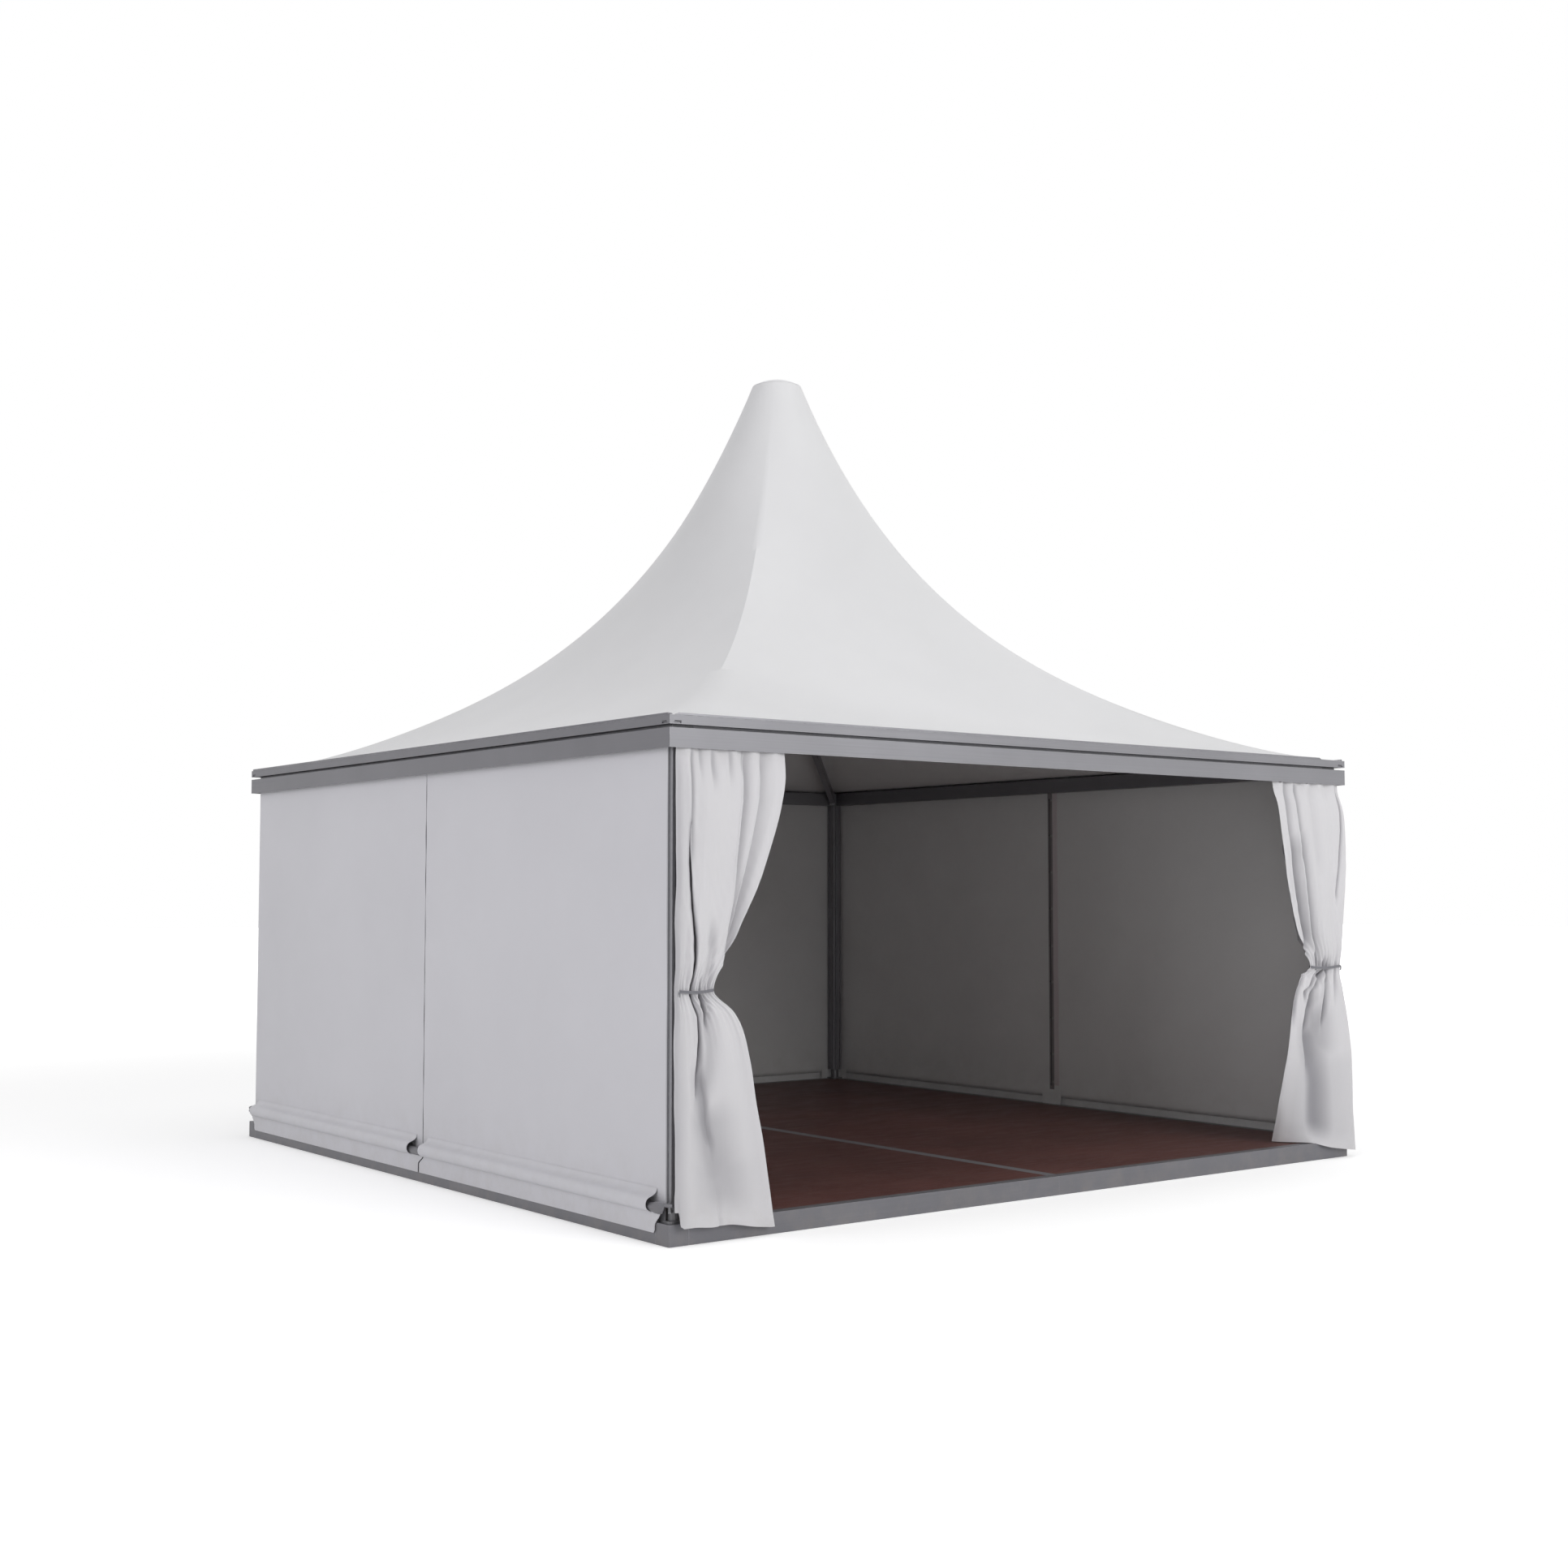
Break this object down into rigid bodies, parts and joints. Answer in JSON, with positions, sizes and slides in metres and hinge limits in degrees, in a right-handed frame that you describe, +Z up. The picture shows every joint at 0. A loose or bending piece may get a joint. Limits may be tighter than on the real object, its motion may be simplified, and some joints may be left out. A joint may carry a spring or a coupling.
{
  "type": "pagoda tent",
  "caption": "Square pagoda tent with a high-peak membrane roof, aluminium frame, boarded floor, laced side walls and tied-back front curtains.",
  "frame": {"origin": "on the ground at the centre of the tent, which is the bottom centre of its box", "axes": "+Z up, the open front faces -Y, +X to the right of a person who looks at the front"},
  "size_m": [5.095, 5.0947, 4.95],
  "materials": {
    "frame_metal": "mill finish, slightly matt",
    "fitting_metal": "cast, matt",
    "bolt_steel": "zinc plated",
    "floor_board": "film-faced plywood, reddish brown, smooth",
    "roof_canvas": "coated fabric, white, satin",
    "wall_canvas": "coated fabric, white, satin",
    "curtain_cloth": "plain woven cloth, white",
    "tie_band": "woven band, grey",
    "lace_cord": "round cord, brown"
  },
  "bodies": {
    "tent": {"base_beam_front_left": "frame_metal", "base_beam_front_right": "frame_metal", "base_beam_back": "frame_metal", "base_beam_left": "frame_metal", "base_beam_right": "frame_metal", "base_corner_front_left": "frame_metal", "base_corner_front_right": "frame_metal", "base_corner_back_left": "frame_metal", "base_corner_back_right": "frame_metal", "floor_joist_centre": "frame_metal", "floor_joist_left": "frame_metal", "floor_joist_right": "frame_metal", "floor_board_left": "floor_board", "floor_board_right": "floor_board", "post_foot_front_left": "fitting_metal", "post_foot_front_right": "fitting_metal", "post_foot_back_left": "fitting_metal", "post_foot_back_right": "fitting_metal", "post_front_left": "frame_metal", "post_front_right": "frame_metal", "post_back_left": "frame_metal", "post_back_right": "frame_metal", "eave_beam_front": "frame_metal", "eave_beam_right": "frame_metal", "eave_beam_back": "frame_metal", "eave_beam_left": "frame_metal", "corner_bracket_front_left": "fitting_metal", "corner_bracket_front_right": "fitting_metal", "corner_bracket_back_left": "fitting_metal", "corner_bracket_back_right": "fitting_metal", "rafter_front_left": "frame_metal", "rafter_front_right": "frame_metal", "rafter_back_left": "frame_metal", "rafter_back_right": "frame_metal", "rafter_hub": "fitting_metal", "hub_clamp_bolt": "bolt_steel", "roof_gore_front": "roof_canvas", "roof_gore_right": "roof_canvas", "roof_gore_back": "roof_canvas", "roof_gore_left": "roof_canvas", "wall_left_front": "wall_canvas", "wall_left_back": "wall_canvas", "wall_back_left": "wall_canvas", "wall_back_right": "wall_canvas", "wall_right_front": "wall_canvas", "wall_right_back": "wall_canvas", "tension_tube_left": "frame_metal", "tension_tube_back": "frame_metal", "tension_tube_right": "frame_metal", "curtain_rail": "frame_metal", "lacing_left": "lace_cord", "lacing_back": "lace_cord", "lacing_right": "lace_cord"},
    "mast": {"mast": "frame_metal", "mast_crown": "fitting_metal", "peak_cap": "roof_canvas"},
    "left_curtain": {"curtain_left": "curtain_cloth", "curtain_tie_left": "tie_band"},
    "right_curtain": {"curtain_right": "curtain_cloth", "curtain_tie_right": "tie_band"}
  },
  "joints": [
    {"name": "mast_jack", "type": "slide", "parent": "tent", "child": "mast", "axis": [0, 0, 1], "range_m": [-0.08, 0]},
    {"name": "left_curtain_slide", "type": "slide", "parent": "tent", "child": "left_curtain", "axis": [1, 0, 0], "range_m": [0, 1.8]},
    {"name": "right_curtain_slide", "type": "slide", "parent": "tent", "child": "right_curtain", "axis": [1, 0, 0], "range_m": [-1.8, 0]}
  ]
}
